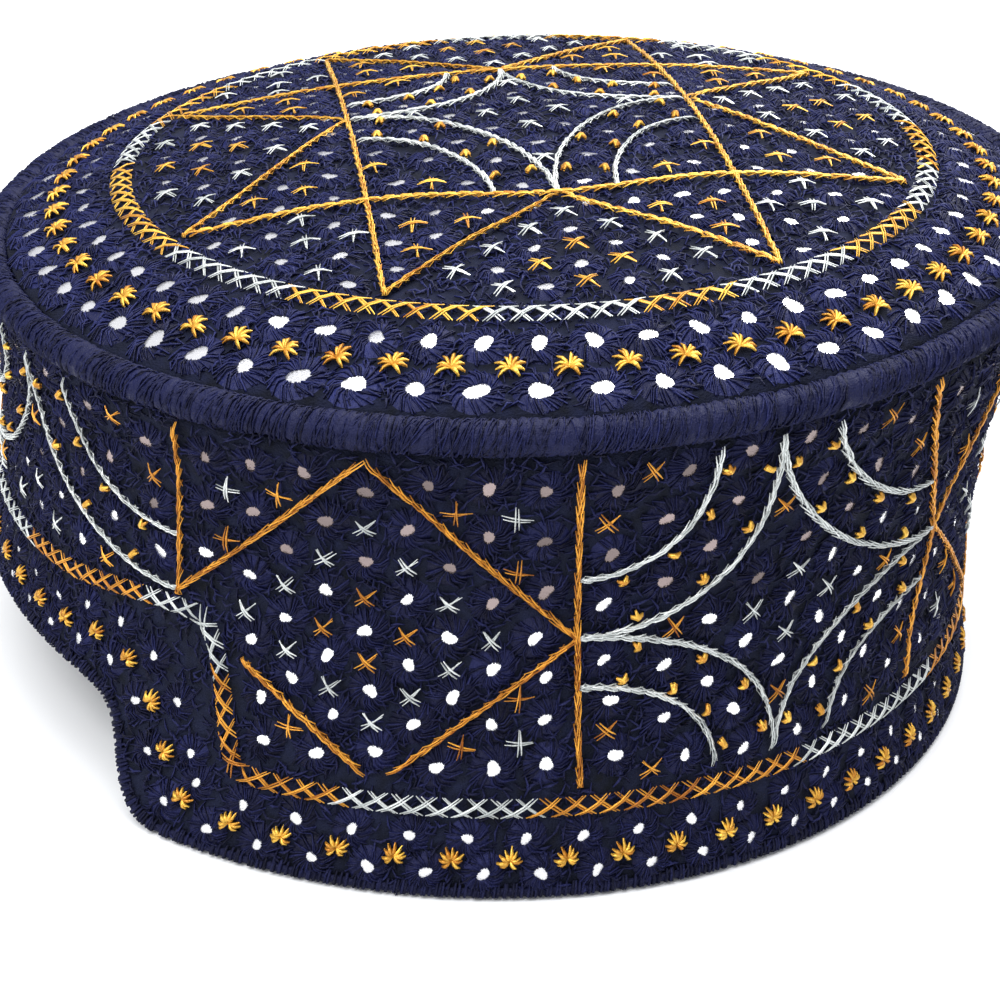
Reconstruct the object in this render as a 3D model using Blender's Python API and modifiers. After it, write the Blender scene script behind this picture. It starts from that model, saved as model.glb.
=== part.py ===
"""A mirror-work pillbox cap with a forehead notch: the cloth shells, the seam welt, the hem and the braid and
mirror rows that lie on the cloth. The front faces -Y and the hem rests on the plane z = 0."""

import math

import bmesh
import bpy
from mathutils import Vector

# Cloth shells
SEAM_RADIUS = 0.0900  # outside of the wall where the crown is sewn to it
WALL_HEIGHT = 0.0740  # from the table to the top of the wall cloth
CLOTH = 0.0026  # quilted cloth, outer face to inner face
CROWN_RISE = 0.0130  # middle of the crown above the crown's edge

# Seam welt: a padded roll between the wall and the crown
WELT_THICK = 0.0050
WELT_PROUD = 0.0020  # how far the roll stands out from the wall
WELT_OVERLAP = 0.86  # share of the roll's thickness that lies outside the crown's edge
CROWN_SEAT = 0.90  # height of the crown's edge on the roll, as a share of the roll's thickness

# How the soft crown settles on the cut-away front
LEAN_BACK = 0.0064
CROWN_TILT = 0.00693  # how far the crown's back edge stands above its middle

# Forehead notch, seen in the wall laid out flat
NOTCH_HALF_ANGLE = 47.5
NOTCH_DEPTH = 0.0195

# Hem: the overcast edging under the cut edge of the wall
HEM_HEIGHT = 0.0014
HEM_THICK = 0.0036

# Braids couched on the cloth
BRAID_WIDTH = 0.0036
BRAID_HEIGHT = 0.0010

# Rows of mirrors in stitched eyelets
EYELET_WIDTH = 0.0048
EYELET_HEIGHT = 0.0012
EYELET_BRIDGE = 0.45  # width of the stitching between two eyelets, as a share of an eyelet
CROWN_MIRRORS = 60
BORDER_MIRRORS = 68

# Bare cloth between the rows, from the crown's edge inwards and from the hem upwards
CROWN_EDGE_SPACE = 0.0016
CROWN_ROW_SPACE = 0.0039  # room for the stars between the two rows
CROWN_BRAID_SPACE = 0.0023
BORDER_HEM_SPACE = 0.0005
BORDER_ROW_SPACE = 0.0003
BORDER_BRAID_SPACE = 0.0007

PIECE_GAP = 0.0004  # between any two pieces
WALL_GAP = 0.0006  # between the wall's flat facets and what follows its round face

AROUND = 60  # facets round the cap

# Wall from the table up: share of the wall's height, share of the seam radius
WALL_PROFILE = (
    (0.00, 1.038),
    (0.16, 0.998),
    (0.36, 0.967),
    (0.62, 0.956),
    (0.86, 0.974),
    (1.00, 1.000),
)

# Crown from its middle out: share of the crown's radius, share of the crown's rise
CROWN_PROFILE = (
    (0.000, 1.00),
    (0.200, 0.965),
    (0.338, 0.90),
    (0.550, 0.74),
    (0.780, 0.508),
    (0.860, 0.365),
    (0.930, 0.16),
    (1.000, 0.00),
)

# Notch edge from the rim to the middle of the front: share of the half angle, share of the depth
NOTCH_EDGE = (
    (1.065, 0.00),
    (1.015, 0.06),
    (0.975, 0.20),
    (0.940, 0.40),
    (0.914, 0.60),
    (0.890, 0.78),
    (0.855, 0.90),
    (0.780, 0.96),
    (0.600, 1.00),
    (0.400, 1.03),
    (0.200, 1.05),
    (0.000, 1.05),
)

# Wall braid round the notch: share of the half angle, share of the notch's depth above the braid's own rise
BRAID_EDGE = (
    (1.290, 0.00),
    (1.225, 0.02),
    (1.190, 0.35),
    (1.163, 0.68),
    (1.138, 1.00),
    (1.100, 1.28),
    (0.970, 1.28),
    (0.850, 1.22),
    (0.700, 1.12),
    (0.480, 1.07),
    (0.230, 1.06),
    (0.000, 1.06),
)


def along(table, share):
    """Second column of a table at a value of its first, on straight lines between the rows."""
    for (start, first), (end, last) in zip(table, table[1:]):
        if share <= end:
            return first + (last - first) * (share - start) / (end - start)
    return table[-1][1]


def wall_radius(height):
    return SEAM_RADIUS * along(WALL_PROFILE, height / WALL_HEIGHT)


def crown_edge_radius():
    return SEAM_RADIUS + WELT_PROUD - WELT_THICK * WELT_OVERLAP - PIECE_GAP


def crown_edge_height():
    return WALL_HEIGHT + PIECE_GAP + WELT_THICK * CROWN_SEAT


def crown_outer_radius():
    return crown_edge_radius() - CROWN_EDGE_SPACE - EYELET_WIDTH / 2


def crown_inner_radius():
    return crown_outer_radius() - EYELET_WIDTH - CROWN_ROW_SPACE


def crown_braid_radius():
    return crown_inner_radius() - EYELET_WIDTH / 2 - CROWN_BRAID_SPACE - BRAID_WIDTH / 2


def border_lower_rise():
    return HEM_HEIGHT + BORDER_HEM_SPACE + EYELET_WIDTH / 2


def border_upper_rise():
    return border_lower_rise() + EYELET_WIDTH + BORDER_ROW_SPACE


def wall_braid_rise():
    return border_upper_rise() + EYELET_WIDTH / 2 + BORDER_BRAID_SPACE + BRAID_WIDTH / 2


def crown_height(radius):
    return crown_edge_height() + CROWN_RISE * along(CROWN_PROFILE, radius / crown_edge_radius())


def settled(point):
    """The cap as it stands: everything above the hem drifts back, and the crown dips at the front."""
    share = min(1.0, point[2] / WALL_HEIGHT)
    return Vector((
        point[0],
        point[1] + LEAN_BACK * share,
        point[2] + CROWN_TILT / SEAM_RADIUS * share * point[1],
    ))


def turned(angle, radius, height):
    """A point at an angle in degrees from the front, turning towards +X."""
    around = math.radians(angle)
    return Vector((radius * math.sin(around), -radius * math.cos(around), height))


def wall_point(angle, height, out=0.0):
    """A point on the wall's outer face, or the distance out from it."""
    return turned(angle, wall_radius(height) + out, height)


def crown_point(angle, radius, out=0.0):
    """A point on the crown's outer face, or the distance out along the face's normal."""
    step = SEAM_RADIUS / 180
    slope = (crown_height(radius + step) - crown_height(radius - step)) / (2 * step)
    scale = out / math.hypot(1.0, slope)
    return turned(angle, radius - slope * scale, crown_height(radius) + scale)


def full_path(edge, rise, depth):
    """(angle, height) round the whole cap, from the back by +X to the front and on by -X."""
    start = edge[0][0] * NOTCH_HALF_ANGLE
    plain = round((180.0 - start) / 360.0 * AROUND)
    half = [(180.0 - (180.0 - start) * i / plain, rise) for i in range(plain)]
    half += [(share * NOTCH_HALF_ANGLE, rise + depth * up) for share, up in edge]
    return half + [(-angle, height) for angle, height in reversed(half[1:-1])]


def hem_offset(distance):
    """The hem's edge moved into the cloth by a distance, in the wall laid out flat."""
    path = full_path(NOTCH_EDGE, 0.0, NOTCH_DEPTH)
    per_degree = math.radians(1.0) * wall_radius(0.0)
    count = len(path)
    moved = []
    for i, (angle, height) in enumerate(path):
        before = path[i - 1]
        after = path[(i + 1) % count]
        turn = (after[0] - before[0] + 180.0) % 360.0 - 180.0
        tangent = Vector((turn * per_degree, after[1] - before[1])).normalized()
        moved.append((
            angle + tangent.y * distance / per_degree,
            height - tangent.x * distance,
        ))
    return moved


def evenly(path, count, per_turn=1):
    """The closed path cut into equal lengths, as (angle, height)."""
    per_degree = math.radians(1.0) * wall_radius(0.0)
    unrolled = []
    turned_by = 0.0
    for i, (angle, height) in enumerate(path + path[:1]):
        if i:
            turned_by += (angle - path[i - 1][0] + 180.0) % 360.0 - 180.0
        unrolled.append((path[0][0] + turned_by, height))
    lengths = [0.0]
    for a, b in zip(unrolled, unrolled[1:]):
        lengths.append(lengths[-1] + math.hypot((b[0] - a[0]) * per_degree, b[1] - a[1]))
    placed = []
    at = 0
    for i in range(count * per_turn):
        wanted = lengths[-1] * i / (count * per_turn)
        while lengths[at + 1] < wanted:
            at += 1
        share = (wanted - lengths[at]) / (lengths[at + 1] - lengths[at])
        placed.append(tuple(a + (b - a) * share for a, b in zip(unrolled[at], unrolled[at + 1])))
    return placed


def cloth_material(name, colour, roughness, metallic=0.0):
    material = bpy.data.materials.new(name)
    material.use_nodes = True
    shader = material.node_tree.nodes["Principled BSDF"]
    shader.inputs["Base Color"].default_value = (*colour, 1.0)
    shader.inputs["Roughness"].default_value = roughness
    shader.inputs["Metallic"].default_value = metallic
    return material


def new_object(name, mesh, material, collection):
    made = bpy.data.objects.new(name, mesh)
    mesh.materials.append(material)
    collection.objects.link(made)
    return made


def settle(made):
    """Puts the object's modifiers into its mesh and lets the shape settle."""
    graph = bpy.context.evaluated_depsgraph_get()
    solid = bpy.data.meshes.new_from_object(made.evaluated_get(graph))
    made.modifiers.clear()
    made.data = solid
    for vertex in solid.vertices:
        vertex.co = settled(vertex.co)
    shape = bmesh.new()
    shape.from_mesh(solid)
    bmesh.ops.recalc_face_normals(shape, faces=shape.faces)
    shape.to_mesh(solid)
    shape.free()


def closed_loft(name, rings):
    """A closed ring of solid through sections of equal length, each a list of points."""
    shape = bmesh.new()
    rows = [[shape.verts.new(point) for point in ring] for ring in rings]
    for row, following in zip(rows, rows[1:] + rows[:1]):
        for i, vertex in enumerate(row):
            beside = (i + 1) % len(row)
            shape.faces.new((vertex, row[beside], following[beside], following[i]))
    bmesh.ops.recalc_face_normals(shape, faces=shape.faces)
    mesh = bpy.data.meshes.new(name)
    shape.to_mesh(mesh)
    shape.free()
    return mesh


def turned_sheet(name, profile, closed=False):
    """A profile in the XZ plane, turned round the cap's axis."""
    mesh = bpy.data.meshes.new(name)
    ends = [(i, i + 1) for i in range(len(profile) - 1)]
    if closed:
        ends.append((len(profile) - 1, 0))
    mesh.from_pydata([(x, 0.0, z) for x, z in profile], ends, [])
    return mesh


def add_turn(made):
    turn = made.modifiers.new("Turn", "SCREW")
    turn.steps = AROUND
    turn.render_steps = AROUND
    turn.use_merge_vertices = True
    turn.merge_threshold = 0.00001
    turn.use_normal_calculate = True


def add_thickness(made):
    thickness = made.modifiers.new("Cloth", "SOLIDIFY")
    thickness.thickness = CLOTH
    thickness.offset = -1.0


def make_crown(collection):
    edge = crown_edge_radius()
    rows = CROWN_PROFILE[::-1][:-1] + ((0.0, 1.0),)
    profile = [(edge * share, crown_edge_height() + CROWN_RISE * up) for share, up in reversed(rows)]
    material = cloth_material("crown_cloth", (0.055, 0.062, 0.125), 0.85)
    made = new_object("crown", turned_sheet("crown", profile), material, collection)
    add_turn(made)
    add_thickness(made)
    settle(made)


def make_welt(collection):
    across = WELT_THICK / 2
    middle = SEAM_RADIUS + WELT_PROUD - across
    height = WALL_HEIGHT + PIECE_GAP + across
    sides = 7
    profile = []
    for i in range(sides):
        around = 2 * math.pi * (i + 0.5) / sides
        profile.append((middle + across * math.cos(around), height + across * math.sin(around)))
    material = cloth_material("welt_thread", (0.030, 0.034, 0.085), 0.7)
    made = new_object("seam_welt", turned_sheet("seam_welt", profile, closed=True), material, collection)
    add_turn(made)
    settle(made)


def make_wall(collection):
    low = hem_offset(HEM_HEIGHT + PIECE_GAP)
    high = full_path(NOTCH_EDGE, 0.0, NOTCH_DEPTH)
    rings = []
    for (low_angle, low_height), (high_angle, _) in zip(low, high):
        outer = []
        inner = []
        for share, _ in WALL_PROFILE:
            height = low_height + (WALL_HEIGHT - low_height) * share
            angle = low_angle + (high_angle - low_angle) * share
            outer.append(wall_point(angle, height))
            inner.append(wall_point(angle, height, -CLOTH))
        rings.append(outer + inner[::-1])
    material = cloth_material("side_cloth", (0.020, 0.024, 0.060), 0.85)
    made = new_object("side_band", closed_loft("side_band", rings), material, collection)
    settle(made)


def make_hem(collection):
    # distance into the cloth as a share of the hem's height, and place across the hem as a share of its thickness
    section = ((0.0, -0.32), (0.0, 0.32), (0.45, 0.5), (1.0, 0.4), (1.0, -0.5))
    paths = [hem_offset(HEM_HEIGHT * up) for up, _ in section]
    rings = []
    for i in range(len(paths[0])):
        ring = []
        for path, (_, across) in zip(paths, section):
            angle, height = path[i]
            ring.append(wall_point(angle, height, HEM_THICK * across - CLOTH / 2))
        rings.append(ring)
    material = cloth_material("hem_thread", (0.016, 0.019, 0.050), 0.75)
    made = new_object("hem_edging", closed_loft("hem_edging", rings), material, collection)
    settle(made)


def make_crown_braid(collection):
    half = BRAID_WIDTH / 2
    middle = crown_braid_radius()
    rings = []
    for i in range(AROUND):
        angle = 360.0 * i / AROUND
        rings.append([
            crown_point(angle, middle - half, PIECE_GAP),
            crown_point(angle, middle, PIECE_GAP + BRAID_HEIGHT),
            crown_point(angle, middle + half, PIECE_GAP),
        ])
    material = cloth_material("crown_braid_thread", (0.75, 0.58, 0.20), 0.35, 0.7)
    made = new_object("crown_braid", closed_loft("crown_braid", rings), material, collection)
    settle(made)


def make_wall_braid(collection):
    half = BRAID_WIDTH / 2
    per_degree = math.radians(1.0) * SEAM_RADIUS
    path = full_path(BRAID_EDGE, wall_braid_rise(), NOTCH_DEPTH)
    rings = []
    for i, (angle, height) in enumerate(path):
        before = path[i - 1]
        after = path[(i + 1) % len(path)]
        turn = (after[0] - before[0] + 180.0) % 360.0 - 180.0
        tangent = Vector((turn * per_degree, after[1] - before[1])).normalized()
        ring = []
        for side, out in ((-half, 0.0), (0.0, BRAID_HEIGHT), (half, 0.0)):
            moved = angle + tangent.y * side / per_degree, height - tangent.x * side
            ring.append(wall_point(*moved, WALL_GAP + out))
        rings.append(ring)
    material = cloth_material("wall_braid_thread", (0.78, 0.60, 0.22), 0.35, 0.7)
    made = new_object("wall_braid", closed_loft("wall_braid", rings), material, collection)
    settle(made)


# One eyelet along a row: place as a share of the row's pitch, width share, height share
EYELET_SECTIONS = (
    (0.00, EYELET_BRIDGE, 0.6),
    (0.28, 1.0, 1.0),
    (0.72, 1.0, 1.0),
)


def make_crown_row(name, radius, collection):
    rings = []
    for i in range(CROWN_MIRRORS):
        for place, wide, high in EYELET_SECTIONS:
            angle = 360.0 * (i + place) / CROWN_MIRRORS
            half = EYELET_WIDTH / 2 * wide
            out = PIECE_GAP + EYELET_HEIGHT * high
            rings.append([
                crown_point(angle, radius - half, PIECE_GAP),
                crown_point(angle, radius - half * 0.8, out),
                crown_point(angle, radius + half * 0.8, out),
                crown_point(angle, radius + half, PIECE_GAP),
            ])
    material = cloth_material(name + "_glass", (0.80, 0.82, 0.84), 0.15, 1.0)
    made = new_object(name, closed_loft(name, rings), material, collection)
    settle(made)


def make_border_row(name, rise, collection):
    half = EYELET_WIDTH / 2
    per_degree = math.radians(1.0) * wall_radius(0.0)
    middle = evenly(hem_offset(rise), BORDER_MIRRORS, len(EYELET_SECTIONS))
    rings = []
    for i, (angle, height) in enumerate(middle):
        before = middle[i - 1]
        after = middle[(i + 1) % len(middle)]
        turn = (after[0] - before[0] + 180.0) % 360.0 - 180.0
        tangent = Vector((turn * per_degree, after[1] - before[1])).normalized()
        _, wide, high = EYELET_SECTIONS[i % len(EYELET_SECTIONS)]
        ring = []
        for side, out in ((-1.0, 0.0), (-0.8, high), (0.8, high), (1.0, 0.0)):
            reach = side * half * wide
            moved = angle + tangent.y * reach / per_degree, height - tangent.x * reach
            ring.append(wall_point(*moved, WALL_GAP + EYELET_HEIGHT * out))
        rings.append(ring)
    material = cloth_material(name + "_glass", (0.80, 0.82, 0.84), 0.15, 1.0)
    made = new_object(name, closed_loft(name, rings), material, collection)
    settle(made)


def centre_over_origin(collection):
    """Moves the whole cap so that the middle of its outline seen from above is over the origin."""
    points = [vertex.co for made in collection.objects for vertex in made.data.vertices]
    middle_x = (min(point.x for point in points) + max(point.x for point in points)) / 2
    middle_y = (min(point.y for point in points) + max(point.y for point in points)) / 2
    print("outline moved by", round(-middle_x, 6), round(-middle_y, 6))
    for made in collection.objects:
        for vertex in made.data.vertices:
            vertex.co.x -= middle_x
            vertex.co.y -= middle_y


def main():
    for old in list(bpy.data.objects):
        bpy.data.objects.remove(old, do_unlink=True)
    collection = bpy.data.collections.new("mirror_work_cap")
    bpy.context.scene.collection.children.link(collection)
    make_wall(collection)
    make_crown(collection)
    make_welt(collection)
    make_hem(collection)
    make_crown_braid(collection)
    make_wall_braid(collection)
    make_crown_row("crown_outer_mirrors", crown_outer_radius(), collection)
    make_crown_row("crown_inner_mirrors", crown_inner_radius(), collection)
    make_border_row("border_upper_mirrors", border_upper_rise(), collection)
    make_border_row("border_lower_mirrors", border_lower_rise(), collection)
    centre_over_origin(collection)


main()
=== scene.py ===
# %% [markdown]
# # A mirror-work cap
# A round cloth cap, embroidered all over. Small mirrors sit in stitched eyelets, and metallic threads
# draw the lines between them. The solid model gives the place and the size of each piece. This script
# dresses it: every thread, mirror and piece of cloth is real geometry with a node material.

# %% Load the fixed frame
import math

import bpy
import numpy as np
from mathutils import Matrix, Vector


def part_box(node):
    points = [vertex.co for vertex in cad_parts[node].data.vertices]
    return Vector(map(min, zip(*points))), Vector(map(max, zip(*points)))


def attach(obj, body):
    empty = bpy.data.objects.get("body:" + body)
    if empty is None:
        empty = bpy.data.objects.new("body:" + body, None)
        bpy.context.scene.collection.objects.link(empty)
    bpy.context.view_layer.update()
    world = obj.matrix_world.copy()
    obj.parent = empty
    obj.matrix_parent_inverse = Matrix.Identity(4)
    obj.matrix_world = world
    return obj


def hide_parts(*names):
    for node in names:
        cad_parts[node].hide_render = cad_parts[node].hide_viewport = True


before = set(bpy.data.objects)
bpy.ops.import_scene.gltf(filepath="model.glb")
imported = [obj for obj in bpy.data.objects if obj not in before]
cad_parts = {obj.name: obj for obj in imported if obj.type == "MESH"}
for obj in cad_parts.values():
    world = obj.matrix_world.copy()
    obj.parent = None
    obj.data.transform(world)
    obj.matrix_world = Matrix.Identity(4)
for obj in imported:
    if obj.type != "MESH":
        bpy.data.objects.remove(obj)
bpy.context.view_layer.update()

# %% [markdown]
# ## Driving sizes
# The cloth of the cap is two sheets: a wall, which is a band that can be laid out flat, and a crown,
# which is seen from above as a disc. Each sheet gets its own flat chart in millimetres. A stitch is
# drawn in the chart, as on cloth in an embroidery frame, and the chart is then wrapped onto the cap.
# This way one stitch recipe serves everywhere, and it follows the curve of the cloth by itself.

# %% Sizes in millimetres
MM = 0.001
SEAM_RADIUS = 90.0
WALL_HEIGHT = 74.0
CLOTH = 2.6
WELT_THICK = 5.0
WELT_PROUD = 2.0
PIECE_GAP = 0.4
CROWN_RISE = 13.0
CROWN_EDGE = SEAM_RADIUS + WELT_PROUD - WELT_THICK * 0.86 - PIECE_GAP
CROWN_EDGE_HEIGHT = WALL_HEIGHT + PIECE_GAP + WELT_THICK * 0.9
LEAN_BACK = 6.4
CROWN_SLOPE = 0.077
MM_PER_DEGREE = math.radians(1.0) * SEAM_RADIUS

# share of the wall's height, share of the seam radius
WALL_PROFILE = np.array([
    (0.00, 1.038), (0.16, 0.998), (0.36, 0.967),
    (0.62, 0.956), (0.86, 0.974), (1.00, 1.000),
])
# share of the crown's radius, share of its rise
CROWN_PROFILE = np.array([
    (0.000, 1.00), (0.200, 0.965), (0.338, 0.90), (0.550, 0.74),
    (0.780, 0.508), (0.860, 0.365), (0.930, 0.16), (1.000, 0.00),
])


def softened(table, width=0.05):
    """A table's straight lines with their corners rounded, as two dense columns."""
    at = np.linspace(0.0, 1.0, 801)
    reach = int(width * 801)
    padded = np.interp(np.linspace(-width, 1.0 + width, 801 + 2 * reach), table[:, 0], table[:, 1])
    first = (table[1, 1] - table[0, 1]) / (table[1, 0] - table[0, 0])
    last = (table[-1, 1] - table[-2, 1]) / (table[-1, 0] - table[-2, 0])
    padded[:reach] = table[0, 1] - first * np.linspace(width, 0.0, reach, endpoint=False)
    padded[-reach:] = table[-1, 1] + last * np.linspace(width, 0.0, reach, endpoint=False)[::-1]
    kernel = np.ones(reach) / reach
    smooth = np.convolve(padded, kernel, mode="same")
    return at, smooth[reach:reach + 801]


WALL_AT, WALL_SHARE = softened(WALL_PROFILE)
CROWN_AT, CROWN_SHARE = softened(CROWN_PROFILE)
print("wall radius at the rim", round(SEAM_RADIUS * WALL_SHARE[0], 2), "mm")

# %% [markdown]
# ## From chart to cap
# The soft crown has settled towards the cut-away front, so every point is leaned back and tilted a
# little after it is placed. The same rule shaped the solids, so both stay together.

# %% Chart functions
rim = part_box("hem_edging")
BACK_SHIFT = (rim[0][0] + rim[1][0]) / 2 / MM
welt_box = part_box("seam_welt")
FRONT_SHIFT = (welt_box[0][1] + welt_box[1][1]) / 2 / MM - LEAN_BACK


def settled(points):
    """Leans the plain shape back and tilts its crown, then puts it where the solids stand."""
    share = np.minimum(1.0, points[:, 2] / WALL_HEIGHT)
    lifted = points[:, 2] + CROWN_SLOPE * share * points[:, 1]
    return np.column_stack((
        points[:, 0] + BACK_SHIFT,
        points[:, 1] + LEAN_BACK * share + FRONT_SHIFT,
        lifted,
    )) * MM


def wall_radius(height):
    return SEAM_RADIUS * np.interp(height / WALL_HEIGHT, WALL_AT, WALL_SHARE)


def on_wall(chart):
    """Chart columns: distance round from the front, height, distance out. Gives points in metres."""
    angle = chart[:, 0] / SEAM_RADIUS
    radius = wall_radius(chart[:, 1]) + chart[:, 2]
    return settled(np.column_stack((radius * np.sin(angle), -radius * np.cos(angle), chart[:, 1])))


def crown_height(radius):
    return CROWN_EDGE_HEIGHT + CROWN_RISE * np.interp(radius / CROWN_EDGE, CROWN_AT, CROWN_SHARE)


def on_crown(chart):
    """Chart columns: X, Y, distance out along the cloth's normal."""
    radius = np.hypot(chart[:, 0], chart[:, 1])
    slope = (crown_height(radius + 0.8) - crown_height(radius - 0.8)) / 1.6
    scale = chart[:, 2] / np.hypot(1.0, slope)
    outward = chart[:, :2] / np.maximum(radius, 1e-6)[:, None]
    plan = chart[:, :2] - outward * (slope * scale)[:, None]
    return settled(np.column_stack((plan, crown_height(radius) + scale)))


print("front of the wall at mid height:", on_wall(np.array([[0.0, 37.0, 0.0]])).round(4).tolist())

# %% [markdown]
# ## Camera and light
# The camera is a pinhole fitted to the rings of the cap in the photograph: it stands near the side of
# the cap and looks down at about 30 degrees. It is set first, because each later step is judged through
# it.

# %% Camera, light, floor and world
scene = bpy.context.scene
eye = bpy.data.cameras.new("camera")
eye.sensor_width = 36.0
eye.lens = 36.0 * 2100.0 / 1000.0
eye.clip_start = 0.01
camera = bpy.data.objects.new("camera", eye)
scene.collection.objects.link(camera)
looking = np.array([-0.86881, 0.15304, -0.4709])
rightward = np.array([0.14527, 0.98797, 0.05306])
upward = np.array([-0.47336, 0.0223, 0.88059])
place = np.array([341.11, -54.03 + FRONT_SHIFT, 203.19]) * MM
camera.matrix_world = Matrix((
    (rightward[0], upward[0], -looking[0], place[0]),
    (rightward[1], upward[1], -looking[1], place[1]),
    (rightward[2], upward[2], -looking[2], place[2]),
    (0.0, 0.0, 0.0, 1.0),
))
scene.camera = camera
print("camera at", place.round(4).tolist())


def soft_light(name, position, target, size, power):
    """One square softbox that faces its target."""
    lamp = bpy.data.lights.new(name, "AREA")
    lamp.size = size
    lamp.energy = power
    made = bpy.data.objects.new(name, lamp)
    scene.collection.objects.link(made)
    made.location = position
    away = Vector(position) - Vector(target)
    made.rotation_euler = away.to_track_quat("Z", "Y").to_euler()
    return made


soft_light("key_softbox", (0.45, -0.55, 0.85), (0, 0, 0.05), 0.6, 9.0)
soft_light("back_softbox", (-0.55, 0.45, 0.75), (0, 0, 0.05), 0.6, 8.0)
soft_light("top_softbox", (0.0, 0.0, 1.0), (0, 0, 0.05), 0.9, 8.0)

world = bpy.data.worlds.new("studio")
scene.world = world
world.use_nodes = True
world.node_tree.nodes["Background"].inputs["Color"].default_value = (0.95, 0.96, 1.0, 1.0)
world.node_tree.nodes["Background"].inputs["Strength"].default_value = 0.75
scene.view_settings.view_transform = "Standard"

# %% [markdown]
# ## Finishes
# Thread, metallic thread, mirror and base cloth are the finishes here. All threads share one shader
# group, which gives fine fibre lines and a change of shade from one strand to the next.

# %% Shader groups
def new_group(name, inputs, outputs):
    group = bpy.data.node_groups.new(name, "ShaderNodeTree")
    for label, kind, value in inputs:
        socket = group.interface.new_socket(name=label, in_out="INPUT", socket_type=kind)
        socket.default_value = value
    for label, kind in outputs:
        group.interface.new_socket(name=label, in_out="OUTPUT", socket_type=kind)
    return group, group.nodes.new("NodeGroupInput"), group.nodes.new("NodeGroupOutput")


def make_thread_group():
    """Shade of a strand and the height of its fibres."""
    group, given, out = new_group(
        "thread_shade",
        [
            ("Light Colour", "NodeSocketColor", (0.5, 0.5, 0.5, 1.0)),
            ("Dark Colour", "NodeSocketColor", (0.1, 0.1, 0.1, 1.0)),
            ("Patch Scale", "NodeSocketFloat", 200.0),
            ("Fibre Scale", "NodeSocketFloat", 2500.0),
            ("Strand Share", "NodeSocketFloat", 0.6),
        ],
        [("Colour", "NodeSocketColor"), ("Fibre Height", "NodeSocketFloat"), ("Wear", "NodeSocketFloat")],
    )
    nodes = group.nodes
    links = group.links
    place_node = nodes.new("ShaderNodeTexCoord")
    patches = nodes.new("ShaderNodeTexNoise")
    patches.inputs["Detail"].default_value = 3.0
    fibres = nodes.new("ShaderNodeTexNoise")
    fibres.inputs["Detail"].default_value = 2.0
    strand = nodes.new("ShaderNodeNewGeometry")
    blend = nodes.new("ShaderNodeMix")
    mixed = nodes.new("ShaderNodeMix")
    mixed.data_type = "RGBA"
    ramp = nodes.new("ShaderNodeMapRange")
    ramp.inputs["From Min"].default_value = 0.25
    ramp.inputs["From Max"].default_value = 0.75
    links.new(place_node.outputs["Object"], patches.inputs["Vector"])
    links.new(given.outputs["Patch Scale"], patches.inputs["Scale"])
    links.new(place_node.outputs["Object"], fibres.inputs["Vector"])
    links.new(given.outputs["Fibre Scale"], fibres.inputs["Scale"])
    links.new(patches.outputs["Fac"], ramp.inputs["Value"])
    links.new(given.outputs["Strand Share"], blend.inputs["Factor"])
    links.new(ramp.outputs["Result"], blend.inputs["A"])
    links.new(strand.outputs["Random Per Island"], blend.inputs["B"])
    links.new(blend.outputs["Result"], mixed.inputs["Factor"])
    links.new(given.outputs["Dark Colour"], mixed.inputs["A"])
    links.new(given.outputs["Light Colour"], mixed.inputs["B"])
    links.new(mixed.outputs["Result"], out.inputs["Colour"])
    links.new(fibres.outputs["Fac"], out.inputs["Fibre Height"])
    links.new(blend.outputs["Result"], out.inputs["Wear"])
    return group


THREAD_GROUP = make_thread_group()
print("group inputs:", [item.name for item in THREAD_GROUP.interface.items_tree if item.in_out == "INPUT"])

# %% Materials of thread
def thread_material(
    name, light, dark, rough, strand_share=0.75, patch=200.0, metal=0.0, gleam=0.18, bump=0.8,
):
    """Thread between two shades. The strand share says how much of the change goes from strand to strand."""
    material = bpy.data.materials.new(name)
    material.use_nodes = True
    nodes = material.node_tree.nodes
    links = material.node_tree.links
    shader = nodes["Principled BSDF"]
    shade = nodes.new("ShaderNodeGroup")
    shade.node_tree = THREAD_GROUP
    shade.inputs["Light Colour"].default_value = (*light, 1.0)
    shade.inputs["Dark Colour"].default_value = (*dark, 1.0)
    shade.inputs["Patch Scale"].default_value = patch
    shade.inputs["Fibre Scale"].default_value = 2500.0
    shade.inputs["Strand Share"].default_value = strand_share
    relief = nodes.new("ShaderNodeBump")
    relief.inputs["Distance"].default_value = 0.0004
    relief.inputs["Strength"].default_value = bump
    links.new(shade.outputs["Colour"], shader.inputs["Base Color"])
    links.new(shade.outputs["Fibre Height"], relief.inputs["Height"])
    links.new(relief.outputs["Normal"], shader.inputs["Normal"])
    shader.inputs["Roughness"].default_value = rough
    shader.inputs["Metallic"].default_value = metal
    shader.inputs["Specular IOR Level"].default_value = gleam
    return material


def metallic_thread(name, light, dark, patch):
    """Flat metal strip wound on a thread: half metal to the eye, with a soft gleam."""
    return thread_material(name, light, dark, 0.34, patch=patch, metal=0.5, gleam=0.4, bump=0.35)


def plain_cloth(name, light, dark, patch):
    return thread_material(name, light, dark, 0.88, strand_share=0.0, patch=patch)


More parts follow.
